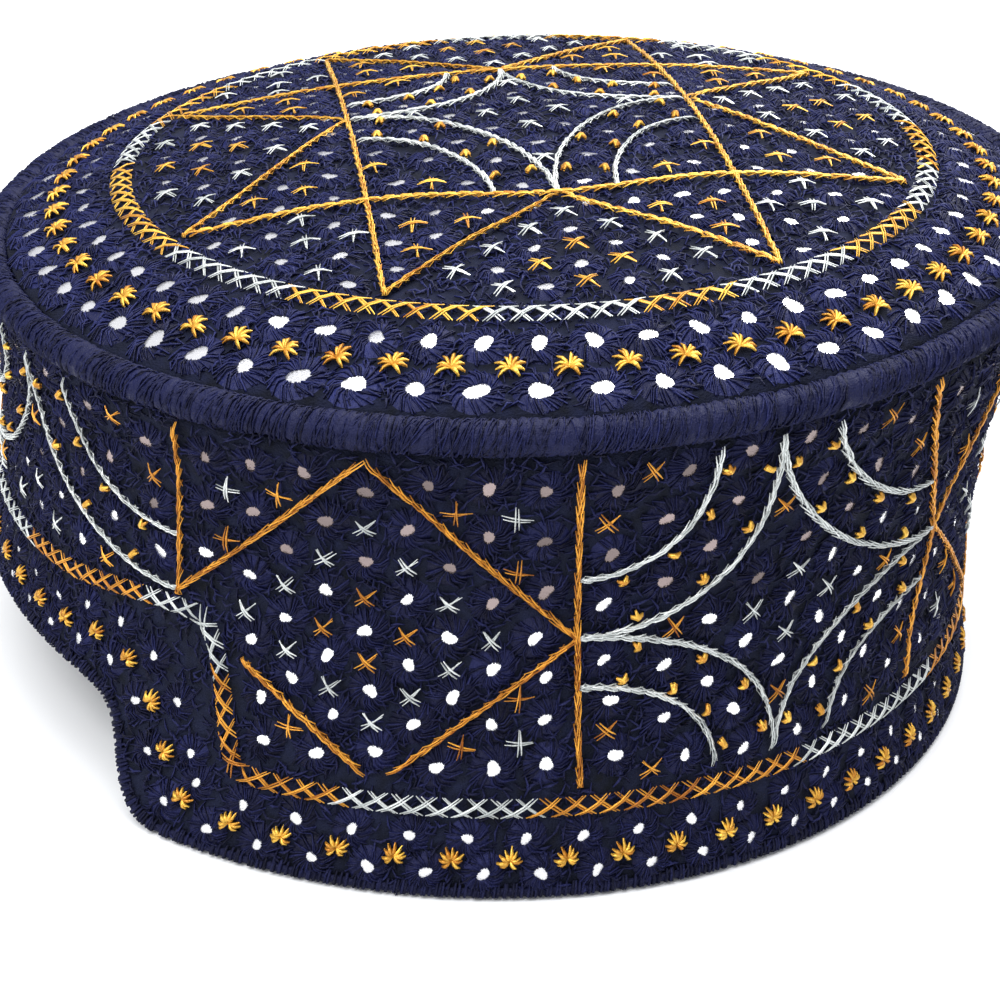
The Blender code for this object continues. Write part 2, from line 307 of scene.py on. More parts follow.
NAVY_CROWN = thread_material("navy_thread", (0.017, 0.022, 0.105), (0.001, 0.0015, 0.012), 0.50)
NAVY_WALL = thread_material("navy_thread_wall", (0.012, 0.015, 0.074), (0.0008, 0.001, 0.008), 0.55)
ROLL_THREAD = thread_material("roll_thread", (0.010, 0.013, 0.066), (0.001, 0.0015, 0.010), 0.58)
HEM_THREAD = thread_material("hem_thread_dark", (0.008, 0.010, 0.050), (0.001, 0.0015, 0.009), 0.65)
BASE_CLOTH = plain_cloth("base_cloth", (0.008, 0.011, 0.034), (0.002, 0.003, 0.006), 300.0)
INNER_CLOTH = plain_cloth("inner_cloth", (0.020, 0.022, 0.045), (0.009, 0.010, 0.022), 90.0)
GOLD = metallic_thread("gold_thread", (1.0, 0.64, 0.10), (0.42, 0.13, 0.010), 70.0)
# The wall's gold is a darker, more orange copy of the crown's gold: painted shade, for the upright wall that
# gets less light than the crown.
PAINTED_SHADE_GOLD = metallic_thread("gold_thread_painted_shade", (1.0, 0.48, 0.06), (0.25, 0.06, 0.006), 60.0)
SILVER = metallic_thread("silver_thread", (0.88, 0.91, 0.89), (0.36, 0.39, 0.38), 90.0)
print("threads and cloths:", len(bpy.data.materials))

# %% [markdown]
# Each mirror is a thin chip of silvered glass. Its face is not quite flat, so the chips do not all
# shine alike.

# %% Material of the mirrors
def mirror_material(name, colour, rough, least):
    """Silvered glass. The dimmest chips have the least share of the colour."""
    material = bpy.data.materials.new(name)
    material.use_nodes = True
    nodes = material.node_tree.nodes
    links = material.node_tree.links
    shader = nodes["Principled BSDF"]
    ripple = nodes.new("ShaderNodeTexNoise")
    ripple.inputs["Scale"].default_value = 300.0
    relief = nodes.new("ShaderNodeBump")
    relief.inputs["Distance"].default_value = 0.0003
    relief.inputs["Strength"].default_value = 0.25
    tint = nodes.new("ShaderNodeMix")
    tint.data_type = "RGBA"
    tint.inputs["A"].default_value = (*colour, 1.0)
    tint.inputs["B"].default_value = (*(least * part for part in colour), 1.0)
    chip = nodes.new("ShaderNodeNewGeometry")
    links.new(chip.outputs["Random Per Island"], tint.inputs["Factor"])
    links.new(tint.outputs["Result"], shader.inputs["Base Color"])
    links.new(ripple.outputs["Fac"], relief.inputs["Height"])
    links.new(relief.outputs["Normal"], shader.inputs["Normal"])
    shader.inputs["Metallic"].default_value = 0.85
    shader.inputs["Roughness"].default_value = rough
    return material


MIRROR = mirror_material("mirror_chip", (0.97, 0.97, 0.99), 0.18, 0.9)
SHADE_MIRROR = mirror_material("mirror_chip_in_shade", (0.33, 0.26, 0.25), 0.2, 0.4)
print("materials:", len(bpy.data.materials))

# %% [markdown]
# ## Making a piece
# Arrays of points and faces become one mesh at a time. A piece rides on the cap's only body, and may
# stand for one of the plain solids.

# %% Mesh helper
def add_piece(name, points, faces, material, replaces=None, smooth=True):
    mesh = bpy.data.meshes.new(name)
    mesh.from_pydata(points.tolist(), [], faces.tolist() if hasattr(faces, "tolist") else faces)
    mesh.materials.append(material)
    if smooth:
        mesh.polygons.foreach_set("use_smooth", [True] * len(mesh.polygons))
    mesh.update()
    piece = bpy.data.objects.new(name, mesh)
    scene.collection.objects.link(piece)
    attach(piece, "root")
    if replaces:
        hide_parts(replaces)
    sides = sum(len(face.vertices) - 2 for face in mesh.polygons)
    print(f"{name}: {sides} triangles")
    return piece


def grid_faces(rows, columns, wrap_rows=False, wrap_columns=False):
    """Quads of a grid of points, counted along its rows first."""
    last_row = rows if wrap_rows else rows - 1
    last_column = columns if wrap_columns else columns - 1
    i, j = np.meshgrid(np.arange(last_row), np.arange(last_column), indexing="ij")
    beside = (j + 1) % columns
    below = (i + 1) % rows
    return np.stack((
        i * columns + j,
        i * columns + beside,
        below * columns + beside,
        below * columns + j,
    ), axis=-1).reshape(-1, 4)


def repeated(faces, count, size):
    """The faces of one copy, for as many copies as there are."""
    return (faces[None] + (np.arange(count) * size)[:, None, None]).reshape(-1, faces.shape[1])


seeded = np.random.default_rng(7)

# %% [markdown]
# ## The cut edge of the wall
# The rim runs round the cap and climbs over the forehead notch. Border rows, braid and hem all follow
# it, so it is drawn once in the flat chart, and rows beside it are the same line moved into the cloth.

# %% Edge line
NOTCH_HALF = 47.5 * MM_PER_DEGREE
NOTCH_DEPTH = 19.5
NOTCH_EDGE = (
    (1.065, 0.00), (1.015, 0.06), (0.975, 0.20), (0.940, 0.40), (0.914, 0.60), (0.890, 0.78),
    (0.855, 0.90), (0.780, 0.96), (0.600, 1.00), (0.400, 1.03), (0.200, 1.05), (0.000, 1.05),
)
BRAID_EDGE = (
    (1.290, 0.00), (1.225, 0.02), (1.190, 0.35), (1.163, 0.68), (1.138, 1.00), (1.100, 1.28),
    (0.970, 1.28), (0.850, 1.22), (0.700, 1.12), (0.480, 1.07), (0.230, 1.06), (0.000, 1.06),
)
BRAID_RISE = 14.3
ROUND = 360.0 * MM_PER_DEGREE


def whole_line(edge, rise):
    """The line from the back round by +X, over the notch and on to the back again."""
    half = [(ROUND / 2, rise)] + [(share * NOTCH_HALF, rise + up * NOTCH_DEPTH) for share, up in edge]
    return np.array(half + [(-u, v) for u, v in half[-2::-1]])


def evenly(line, count):
    """Points at equal steps along a line, with the line's direction there."""
    steps = np.hypot(*np.diff(line, axis=0).T)
    along = np.concatenate(([0.0], np.cumsum(steps)))
    wanted = along[-1] * np.arange(count) / count
    points = np.column_stack([np.interp(wanted, along, line[:, k]) for k in (0, 1)])
    ahead = np.column_stack([np.interp(wanted + 0.5, along, line[:, k]) for k in (0, 1)])
    behind = np.column_stack([np.interp(wanted - 0.5, along, line[:, k]) for k in (0, 1)])
    direction = ahead - behind
    direction /= np.maximum(np.hypot(*direction.T), 1e-9)[:, None]
    return points, direction, along[-1]


def read_line(line, along, wanted):
    """Places on a line at the wanted distances, by the running length of its points."""
    return np.column_stack([np.interp(wanted, along, line[:, k]) for k in (0, 1)])


def running_length(line):
    return np.concatenate(([0.0], np.cumsum(np.hypot(*np.diff(line, axis=0).T))))


def rounded(line, reach, passes=2):
    """Rounds the corners of a densely cut line."""
    for _ in range(passes):
        padded = np.concatenate((line[:1].repeat(reach, 0), line, line[-1:].repeat(reach, 0)))
        line = np.column_stack([
            np.convolve(padded[:, k], np.ones(2 * reach + 1) / (2 * reach + 1), mode="valid") for k in (0, 1)
        ])
    return line


def moved_in(line, distance):
    """The line moved into the cloth, by one distance or by one for each of its points."""
    ahead = np.roll(line, -1, axis=0)
    behind = np.roll(line, 1, axis=0)
    ahead[-1] = line[-1] + (line[-1] - line[-2])
    behind[0] = line[0] - (line[1] - line[0])
    direction = ahead - behind
    direction /= np.hypot(*direction.T)[:, None]
    return line + np.column_stack((direction[:, 1], -direction[:, 0])) * np.reshape(distance, (-1, 1))


edge_points, _, EDGE_LENGTH = evenly(whole_line(NOTCH_EDGE, 0.0), 1200)
EDGE = rounded(np.vstack((edge_points, [[-ROUND / 2, 0.0]])), 3)
braid_points, _, _ = evenly(whole_line(BRAID_EDGE, BRAID_RISE), 1200)
BRAID = np.vstack((braid_points, [[-ROUND / 2, BRAID_RISE]]))
print("cut edge:", round(EDGE_LENGTH, 1), "mm")

# %% [markdown]
# ## The cloth
# The wall is a sheet with an outer and an inner face, and its grid of quads follows the notch, so no
# cut is needed afterwards. A Boolean cut would leave long thin faces there that shade badly.

# %% Wall cloth
def make_wall_cloth():
    count = 300
    low, _, _ = evenly(EDGE, count)
    low = moved_in(low, 0.9)
    rows = 18
    share = np.linspace(0.0, 1.0, rows)
    top = np.column_stack((low[:, 0], np.full(count, WALL_HEIGHT + 0.3)))
    chart = low[:, None] + (top - low)[:, None] * share[None, :, None]
    outer = np.concatenate((chart, np.zeros((count, rows, 1))), axis=2)
    inner = np.concatenate((chart[:, ::-1], np.full((count, rows, 1), -CLOTH)), axis=2)
    ring = np.concatenate((outer, inner), axis=1)
    faces = grid_faces(count, rows * 2, wrap_rows=True, wrap_columns=True)
    points = on_wall(ring.reshape(-1, 3))
    piece = add_piece("wall_cloth", points, faces, BASE_CLOTH, "side_band")
    piece.data.materials.append(INNER_CLOTH)
    inside = np.zeros(len(faces), dtype=np.int32)
    inside[(faces[:, 0] % (rows * 2)) >= rows] = 1
    piece.data.polygons.foreach_set("material_index", inside)
    return piece


make_wall_cloth()

# %% Crown cloth
def make_crown_cloth():
    around = 180
    rows = 20
    radius = np.linspace(0.4, CROWN_EDGE, rows)
    angle = np.linspace(0.0, 2 * math.pi, around, endpoint=False)
    plan = np.stack((
        radius[None] * np.sin(angle)[:, None],
        -radius[None] * np.cos(angle)[:, None],
    ), axis=-1)
    outer = np.concatenate((plan, np.zeros((around, rows, 1))), axis=2)
    inner = np.concatenate((plan[:, ::-1], np.full((around, rows, 1), -CLOTH)), axis=2)
    ring = np.concatenate((outer, inner), axis=1).reshape(-1, 3)
    faces = grid_faces(around, rows * 2, wrap_rows=True, wrap_columns=False)[:, ::-1].tolist()
    size = rows * 2
    faces.append([i * size for i in range(around)])
    faces.append([i * size + size - 1 for i in range(around)][::-1])
    piece = add_piece("crown_cloth", on_crown(ring), faces, BASE_CLOTH, "crown")
    piece.data.materials.append(INNER_CLOTH)
    inside = [1 if polygon.vertices[0] % size >= rows else 0 for polygon in piece.data.polygons]
    piece.data.polygons.foreach_set("material_index", inside)
    return piece


make_crown_cloth()

# %% [markdown]
# ## Strands
# Every stitch is one or more strands: a thin tube that goes down into the cloth at both ends and rises
# between them. Thousands are needed, so they are built as arrays, all at once, with four sides each.

# %% Strand maker
def strands(starts, ends, radius, lift, base=0.25, sections=4, sides=3, bend=0.0):
    """Tubes from start to end in a chart. Lift is how high the middle of each stands above the base."""
    starts = np.asarray(starts, float)
    ends = np.asarray(ends, float)
    count = len(starts)
    radius = np.broadcast_to(np.asarray(radius, float), (count,))
    lift = np.broadcast_to(np.asarray(lift, float), (count,))
    base = np.broadcast_to(np.asarray(base, float), (count,))
    bend = np.broadcast_to(np.asarray(bend, float), (count,))
    share = np.linspace(0.0, 1.0, sections)
    run = ends - starts
    length = np.maximum(np.hypot(run[:, 0], run[:, 1]), 1e-6)
    across = np.column_stack((-run[:, 1], run[:, 0])) / length[:, None]
    arch = np.sin(np.pi * share) ** 0.6
    arch[-1] = 0.0
    middle = starts[:, None] + run[:, None] * share[None, :, None]
    middle = middle + across[:, None] * (bend[:, None] * np.sin(np.pi * share)[None])[..., None]
    out = base[:, None] + lift[:, None] * arch[None]
    thick = radius[:, None] * (0.55 + 0.45 * np.sin(np.pi * share) ** 0.5)[None]
    turn = np.linspace(0.0, 2 * np.pi, sides, endpoint=False) + np.pi / sides
    chart = np.empty((count, sections, sides, 3))
    sideways = np.cos(turn)[None, None] * thick[..., None]
    chart[..., :2] = middle[:, :, None] + across[:, None, None] * sideways[..., None]
    chart[..., 2] = out[..., None] + np.sin(turn)[None, None] * thick[..., None]
    tube = grid_faces(sections, sides, wrap_columns=True)
    faces = repeated(tube, count, sections * sides)
    return chart.reshape(-1, 3), faces


def gathered(parts):
    """Several (points, faces) pairs as one."""
    points = []
    faces = []
    before = 0
    for chart, sides in parts:
        points.append(chart)
        faces.append(sides + before)
        before += len(chart)
    return np.concatenate(points), np.concatenate(faces)


print("one strand:", [part.shape for part in strands([(0, 0)], [(1, 0)], 0.2, 0.3)])

# %% [markdown]
# ## Eyelets
# A mirror has no holes, so thread must hold it: buttonhole stitches run round its edge and cover it,
# until only a small uneven window is left. The stitches fan out in a slight swirl over a low cushion of
# hidden thread. Every stitch is a strand of its own, so each takes its own shade, and no two eyelets
# are alike.

# %% Eyelet maker
STITCHES = 30
CUSHION_SIDES = 16
# share of the way from the window to the outer edge, height in mm
CUSHION = ((0.00, 0.10), (0.05, 0.60), (0.45, 0.72), (1.00, -0.10))
# share of the way, height, thickness as a share of the room beside the next stitch
STITCH = ((0.00, 0.62, 0.75), (0.42, 0.98, 0.66), (1.00, 0.20, 0.34))


def window_edges(hole, turn, squeeze, lobe, angle):
    """Uneven outlines of the windows, as radius by angle."""
    return hole[:, None] * (
        1.0 + squeeze[:, None] * np.cos(2 * (angle - turn[:, None]))
        + lobe[:, None] * np.cos(3 * angle + turn[:, None] * 5)
    )


def eyelet_stitches(centres, shape, wide):
    """The fans of strands round all windows, as one array of chart points."""
    count = len(centres)
    even = np.linspace(0.0, 2 * np.pi, STITCHES, endpoint=False)[None]
    angle = even + seeded.normal(0, 0.07, (count, STITCHES))
    inner = window_edges(*shape, angle)
    reach = wide[:, None] * seeded.uniform(0.86, 1.10, (count, STITCHES))
    swirl = 0.5 + seeded.normal(0, 0.16, (count, STITCHES))
    raised = seeded.uniform(-0.10, 0.12, (count, STITCHES))
    corners = np.radians((90.0, 210.0, 330.0))
    chart = np.empty((count, STITCHES, len(STITCH), 3, 3))
    for k, (share, height, fat) in enumerate(STITCH):
        along = inner + (reach - inner) * share
        heading = angle + swirl * share
        thick = along * math.pi / STITCHES * fat
        for c, corner in enumerate(corners):
            sideways = thick * math.cos(corner) * 1.3
            chart[:, :, k, c, 0] = centres[:, None, 0] + along * np.cos(heading) - sideways * np.sin(heading)
            chart[:, :, k, c, 1] = centres[:, None, 1] + along * np.sin(heading) + sideways * np.cos(heading)
            chart[:, :, k, c, 2] = height + raised * (share < 1.0) + thick * math.sin(corner)
    tube = grid_faces(len(STITCH), 3, wrap_columns=True)
    return chart.reshape(-1, 3), repeated(tube, count * STITCHES, len(STITCH) * 3)


def eyelet_cushions(centres, shape, wide):
    count = len(centres)
    angle = np.linspace(0.0, 2 * np.pi, CUSHION_SIDES, endpoint=False)[None]
    inner = window_edges(*shape, angle)
    chart = np.empty((count, len(CUSHION), CUSHION_SIDES, 3))
    for k, (share, height) in enumerate(CUSHION):
        along = inner + (wide[:, None] * 0.97 - inner) * share
        chart[:, k, :, 0] = centres[:, None, 0] + along * np.cos(angle)
        chart[:, k, :, 1] = centres[:, None, 1] + along * np.sin(angle)
        chart[:, k, :, 2] = height
    ring = grid_faces(len(CUSHION), CUSHION_SIDES, wrap_columns=True)[:, ::-1]
    return chart.reshape(-1, 3), repeated(ring, count, len(CUSHION) * CUSHION_SIDES)


def mirror_chips(centres, hole):
    """Flat fourteen-sided chips under the windows, each tilted a little."""
    sides = 14
    count = len(centres)
    angle = np.linspace(0.0, 2 * np.pi, sides, endpoint=False)
    tilt = seeded.normal(0.0, 0.04, (count, 2))
    chips = np.empty((count, sides, 3))
    chips[..., 0] = hole[:, None] * 1.4 * np.cos(angle)
    chips[..., 1] = hole[:, None] * 1.4 * np.sin(angle)
    chips[..., 2] = 0.45 + chips[..., 0] * tilt[:, :1] + chips[..., 1] * tilt[:, 1:]
    chips[..., :2] += centres[:, None]
    return chips.reshape(-1, 3), np.arange(sides)[None] + (np.arange(count) * sides)[:, None]


def eyelets(centres, outer, window):
    """Stitches and chips of one row or field of mirrors, in a chart."""
    centres = np.asarray(centres, float)
    count = len(centres)
    hole = window * seeded.uniform(0.86, 1.12, count)
    turn = seeded.uniform(0, 2 * np.pi, count)
    squeeze = seeded.uniform(0.10, 0.26, count)
    lobe = seeded.uniform(0.03, 0.12, count)
    shape = (hole, turn, squeeze, lobe)
    wide = outer * seeded.uniform(0.95, 1.06, count)
    stitched = gathered([eyelet_cushions(centres, shape, wide), eyelet_stitches(centres, shape, wide)])
    return stitched, mirror_chips(centres, hole)


covered = {"wall": [], "crown": []}


def add_eyelets(name, wrap, centres, outer, window, thread, replaces=None, shaded=None):
    """Stitched rings and their chips. Shaded says which chips face away from the light."""
    rings, chips = eyelets(centres, outer, window)
    add_piece(name + "_stitches", wrap(rings[0]), rings[1], thread, replaces)
    made = add_piece(name + "_chips", wrap(chips[0]), chips[1], MIRROR, smooth=False)
    covered["wall" if wrap is on_wall else "crown"].append(np.asarray(centres, float))
    if shaded is not None:
        made.data.materials.append(SHADE_MIRROR)
        made.data.polygons.foreach_set("material_index", shaded.astype(np.int32))


# %% [markdown]
# ## The border rows
# Two rows of mirrors follow the cut edge, with a gold star in each space between four of them.

# %% Border
BORDER_COUNT = 68
# beside the notch the braid stands further from the edge, and the rows spread out to share the room
SPREAD_FROM = 30.0
SPREAD_TO = 56.0


def border_row(rise, spread, phase):
    """Places along the edge. The spread is how much further from the edge they lie beside the notch."""
    place = np.abs(EDGE[:, 0]) / MM_PER_DEGREE
    share = np.clip((place - SPREAD_FROM) / 10.0, 0.0, 1.0) * np.clip((SPREAD_TO - place) / 8.0, 0.0, 1.0)
    line = moved_in(EDGE, rise + spread * share)
    points, direction, _ = evenly(rounded(line, 4), BORDER_COUNT * 2)
    return points[phase::2], direction[phase::2]


lower_row, _ = border_row(4.1, 2.9, 1)
upper_row, _ = border_row(9.5, 5.6, 1)
border_stars, border_directions = border_row(6.9, 4.1, 0)
add_eyelets("border_lower", on_wall, lower_row, 3.35, 0.82, NAVY_WALL, "border_lower_mirrors")
add_eyelets("border_upper", on_wall, upper_row, 3.35, 0.82, NAVY_WALL, "border_upper_mirrors")

# %% [markdown]
# A star is a fan of about eight short gold stitches that share one hole in the cloth.

# %% Stars and crosses
def stars(centres, upward_turn, size, spokes=9, spread=260.0):
    """Fans of spokes. The fan opens towards the turn, in degrees from the chart's first axis."""
    centres = np.asarray(centres, float)
    count = len(centres)
    turn = np.broadcast_to(np.asarray(upward_turn, float), (count,))
    step = np.linspace(-spread / 2, spread / 2, spokes)
    angle = np.radians(turn[:, None] + step[None] + seeded.normal(0, 5.0, (count, spokes)))
    reach = size * (1.0 - 0.18 * np.abs(step / spread)[None]) * seeded.uniform(0.85, 1.1, (count, spokes))
    root = centres - 0.25 * size * np.column_stack((np.cos(np.radians(turn)), np.sin(np.radians(turn))))
    tips = root[:, None] + np.stack((np.cos(angle), np.sin(angle)), axis=-1) * reach[..., None]
    roots = np.broadcast_to(root[:, None], tips.shape)
    return strands(roots.reshape(-1, 2), tips.reshape(-1, 2), 0.34, 0.55, base=0.75)


def crosses(centres, size, turn, arms=2):
    """Crossed stitches, each of them doubled. The turn is in degrees."""
    centres = np.asarray(centres, float)
    parts = []
    for k in range(2):
        angle = np.radians(turn + 90.0 * k) + seeded.normal(0, 0.10, len(centres))
        direction = np.column_stack((np.cos(angle), np.sin(angle)))
        beside = np.column_stack((-direction[:, 1], direction[:, 0]))
        for side in np.linspace(-0.5, 0.5, arms):
            reach = size * seeded.uniform(0.85, 1.12, len(centres))[:, None]
            splay = beside * side * 0.62
            pinch = beside * side * seeded.uniform(-0.5, 0.6, (len(centres), 1))
            parts.append(strands(
                centres - direction * reach + splay, centres + direction * reach + pinch,
                0.165, 0.32 + 0.18 * k, base=0.95,
            ))
    return gathered(parts)


def facing(direction):
    """Degrees of the direction that points into the cloth from a line."""
    return np.degrees(np.arctan2(-direction[:, 0], direction[:, 1]))


star_chart, star_faces = stars(border_stars, facing(border_directions), 1.95)
add_piece("border_stars", on_wall(star_chart), star_faces, GOLD)

# %% [markdown]
# ## Herringbone braid
# Slanted stitches cross near both edges of the band. Each is doubled, and the thread changes between
# gold and silver every few centimetres.

# %% Herringbone maker
def herringbone(name, wrap, line, width, edges, first_gold, gold, replaces, pitch=3.75):
    """A band of crossed stitches along a closed line. Edges are the places where the colour changes."""
    along = running_length(line)
    count = round(along[-1] / pitch)
    true_pitch = along[-1] / count

    def at(distance, side):
        distance = np.mod(distance, along[-1])
        ahead = read_line(line, along, np.minimum(distance + 0.6, along[-1]))
        run = ahead - read_line(line, along, np.maximum(distance - 0.6, 0.0))
        run /= np.hypot(*run.T)[:, None]
        return read_line(line, along, distance) + np.column_stack((run[:, 1], -run[:, 0])) * side

    index = np.arange(count)
    start = index * true_pitch
    segment = np.searchsorted(edges, start, side="right")
    golden = (segment % 2 == 0) == first_gold
    made = {}
    for label, chosen in (("gold", golden), ("silver", ~golden)):
        parts = []
        for slant in (1, -1):
            offset = 0.0 if slant == 1 else true_pitch / 2
            for strand in (-0.27, 0.27):
                from_at = start[chosen] + offset + strand + seeded.normal(0, 0.07, chosen.sum())
                to_at = from_at + true_pitch * 1.22 + seeded.normal(0, 0.10, chosen.sum())
                from_at = np.clip(from_at, 0.0, along[-1] - 0.01)
                over = to_at >= along[-1]
                to_at = np.where(over, along[-1] - 0.01, to_at)
                a = at(from_at, -width / 2 * slant)
                b = at(to_at, width / 2 * slant)
                parts.append(strands(a, b, 0.17, 0.55 + 0.15 * (slant < 0), base=0.55))
        made[label] = gathered(parts)
    add_piece(f"{name}_gold", wrap(made["gold"][0]), made["gold"][1], gold, replaces)
    add_piece(f"{name}_silver", wrap(made["silver"][0]), made["silver"][1], SILVER)


# degrees from the front and mm up where the thread changes, from the back round to the front
CHANGES = (
    (168.0, 14.3), (143.6, 14.3), (119.0, 14.3), (91.1, 14.3),
    (70.7, 14.3), (54.4, 24.5), (45.5, 38.5), (25.3, 37.0),
)


def run_to(line, degrees, height):
    """Distance along a line to its point nearest to a place."""
    away = np.hypot(line[:, 0] - degrees * MM_PER_DEGREE, line[:, 1] - height)
    return running_length(line)[int(np.argmin(away))]


wall_edges = [run_to(BRAID, degrees, height) for degrees, height in CHANGES]
wall_edges += [run_to(BRAID, -degrees, height) for degrees, height in CHANGES[::-1]]
# The wall braid takes the darker gold with painted shade.
herringbone("wall_herringbone", on_wall, BRAID, 3.1, np.array(wall_edges), False, PAINTED_SHADE_GOLD, "wall_braid")

# %% Crown herringbone
CROWN_BRAID_RADIUS = 68.1
turns = np.radians(np.linspace(-97.0, 263.0, 721))
crown_ring = np.column_stack((np.cos(turns), np.sin(turns))) * CROWN_BRAID_RADIUS
# degrees from +X towards +Y at which the thread changes, starting with gold
RING_CHANGES = (-65, -41.5, -16, 2, 16.5, 34.5, 52, 68, 86.5, 106, 125, 145, 165, 184, 203, 222, 242)
ring_edges = np.radians(np.array(RING_CHANGES) + 97.0) * CROWN_BRAID_RADIUS
herringbone("crown_herringbone", on_crown, crown_ring, 3.6, ring_edges, True, GOLD, "crown_braid")

# %% [markdown]
# ## The crown's shoulder
# Two rings of mirrors with a ring of gold stars between them run round the sloping edge of the crown.

# %% Crown rings
CROWN_COUNT = 60


def ring_points(radius, phase):
    angle = np.radians((np.arange(CROWN_COUNT) + phase) * 360.0 / CROWN_COUNT)
    return np.column_stack((radius * np.sin(angle), -radius * np.cos(angle))), np.degrees(angle)


outer_ring, _ = ring_points(83.0, 0.83)
inner_ring, _ = ring_points(74.4, 0.83)
star_ring, star_angle = ring_points(78.6, 0.33)
add_eyelets("crown_outer", on_crown, outer_ring, 4.3, 1.45, NAVY_CROWN, "crown_outer_mirrors")
add_eyelets("crown_inner", on_crown, inner_ring, 3.95, 1.30, NAVY_CROWN, "crown_inner_mirrors")
star_chart, star_faces = stars(star_ring, star_angle + 90.0, 2.4)
add_piece("crown_stars", on_crown(star_chart), star_faces, GOLD)

# %% [markdown]
# ## Stitched lines
# Lines and arcs are worked in stem stitch with two strands: short slanted stitches, each starting
# halfway along the one before. From a distance they read as one twisted cord.

# %% Line maker
def stem_line(points, spacing=2.3, width=0.32, radius=0.16, lift=0.5):
    """Overlapping slanted stitches along an open line in a chart."""
    line = np.asarray(points, float)
    steps = np.hypot(*np.diff(line, axis=0).T)
    along = np.concatenate(([0.0], np.cumsum(steps)))
    count = max(2, int(along[-1] / spacing))
    start = np.linspace(0.0, along[-1], count, endpoint=False)
    parts = []
    for side in (1, -1):
        from_at = start + (0.0 if side > 0 else spacing / 2) + seeded.normal(0, 0.25, count)
        to_at = from_at + spacing * seeded.uniform(1.5, 1.9, count)
        a = np.column_stack([np.interp(from_at, along, line[:, k]) for k in (0, 1)])
        b = np.column_stack([np.interp(to_at, along, line[:, k]) for k in (0, 1)])
        run = b - a
        length = np.maximum(np.hypot(*run.T), 0.05)
        across = np.column_stack((-run[:, 1], run[:, 0])) / length[:, None]
        keep = np.hypot(*run.T) > 0.4
        a = a + across * width * side
        b = b - across * width * side * 0.6
        for beside in (-0.17, 0.17):
            shift = (across * beside + seeded.normal(0, 0.06, across.shape))[keep]
            parts.append(strands(
                a[keep] + shift, b[keep] + shift, radius, lift + 0.12 * (side > 0), base=0.7,
            ))
    return gathered(parts)


def quarter_turn(share):
    """A quarter of a circle round a corner, as shares of the half width and the half height."""
    angle = np.linspace(0.0, math.pi / 2, 24)
    return np.column_stack((share * np.cos(angle), share * np.sin(angle)))


print("one short line:", stem_line([(0, 0), (10, 0)])[0].shape)

# %% [markdown]
# ## The wall's eight panels
# Upright gold lines part the wall into eight panels. Four hold a gold diamond with a lattice of
# mirrors, and the four between them hold silver quarter arcs round their corners. One table each gives
# the mirrors and crosses of a panel as shares of its half size, so that all panels of a kind agree.

# %% Panel tables
PANEL_TOP = 73.0
PANEL_MIDDLE = 42.4
PANEL_BOTTOM = 17.3
PANEL_HEIGHTS = (PANEL_BOTTOM, PANEL_MIDDLE, PANEL_TOP)
# degrees from the front of each upright line at its bottom, middle and top: the cloth has pulled them askew
PANEL_LINES = (
    (0.0, 0.0, 0.0),
    (53.0, 48.7, 48.3),
    (92.3, 89.8, 86.8),
    (134.0, 135.4, 124.0),
    (180.0, 180.0, 180.0),
    (225.0, 225.0, 227.0),
    (268.0, 270.0, 272.0),
    (311.0, 311.5, 312.0),
    (360.0, 360.0, 360.0),
)

# share of the half width from the side line, share of the half height from the panel's edge
CORNER_MIRRORS = ((0.16, 0.16), (0.42, 0.14), (0.70, 0.13), (0.16, 0.45), (0.42, 0.42), (0.15, 0.74))
CORNER_CROSSES = (
    # the two places, then whether the thread is gold
    (0.29, 0.31, False),
    (0.57, 0.28, True),
    (0.28, 0.61, True),
)
ARC_CORNER_MIRRORS = ((0.175, 0.18), (0.52, 0.11), (0.41, 0.38), (0.15, 0.55))
ARC_CORNER_CROSSES = ((0.34, 0.08), (0.13, 0.36))
BETWEEN_ARCS = (4.0, 24.0, 43.0, 62.0, 82.0)
KNOT_TURNS = (11.0, 32.0, 53.0, 74.0)
SMALL_ARC = 0.67
CORNERS = ((-1, -1), (-1, 1), (1, -1), (1, 1))

wall_mirrors = []
wall_gold_x = []
wall_silver_x = []
wall_gold_plus = []
wall_silver_plus = []
wall_knots = []
gold_lines = []
silver_lines = []


def braid_height(u):
    """Height of the wall braid at a place round the wall."""
    half = BRAID[: len(BRAID) // 2]
    return np.interp(abs((u + ROUND / 2) % ROUND - ROUND / 2), half[::-1, 0], half[::-1, 1])


def clear_of_braid(u, v, margin=3.4):
    """True above the braid and clear of it on all sides."""
    nearest = np.min(np.hypot(BRAID[:, 0] - u, BRAID[:, 1] - v))
    turned_round = np.min(np.hypot(BRAID[:, 0] + ROUND - u, BRAID[:, 1] - v))
    return v > braid_height(u) and min(nearest, turned_round) > margin


def in_panel(number, across, up):
    """Chart place of a point in a panel. Across and up run from -1 to 1."""
    reach = (PANEL_TOP - PANEL_MIDDLE) if up > 0 else (PANEL_MIDDLE - PANEL_BOTTOM)
    height = PANEL_MIDDLE + up * reach
    left = np.interp(height, PANEL_HEIGHTS, PANEL_LINES[number])
    right = np.interp(height, PANEL_HEIGHTS, PANEL_LINES[number + 1])
    return (left + (right - left) * (across + 1) / 2) * MM_PER_DEGREE, height


def from_corner(number, corner, share_across, share_up):
    return in_panel(number, corner[0] * (1 - share_across), corner[1] * (1 - share_up))


def keep_line(line, store, lower=False):
    """Cuts what would cross the braid over the notch. A panel's lower lines stop well short of it."""
    margin = 4.2 if lower else 2.0
    kept_points = [point for point in line if clear_of_braid(point[0], point[1], margin)]
    if len(kept_points) > 2:
        store.append(np.array(kept_points))


def cut_short(number, corner):
    """True for the lower corners of the four panels that the notch cuts into."""
    return corner[1] < 0 and number in (0, 1, 6, 7)


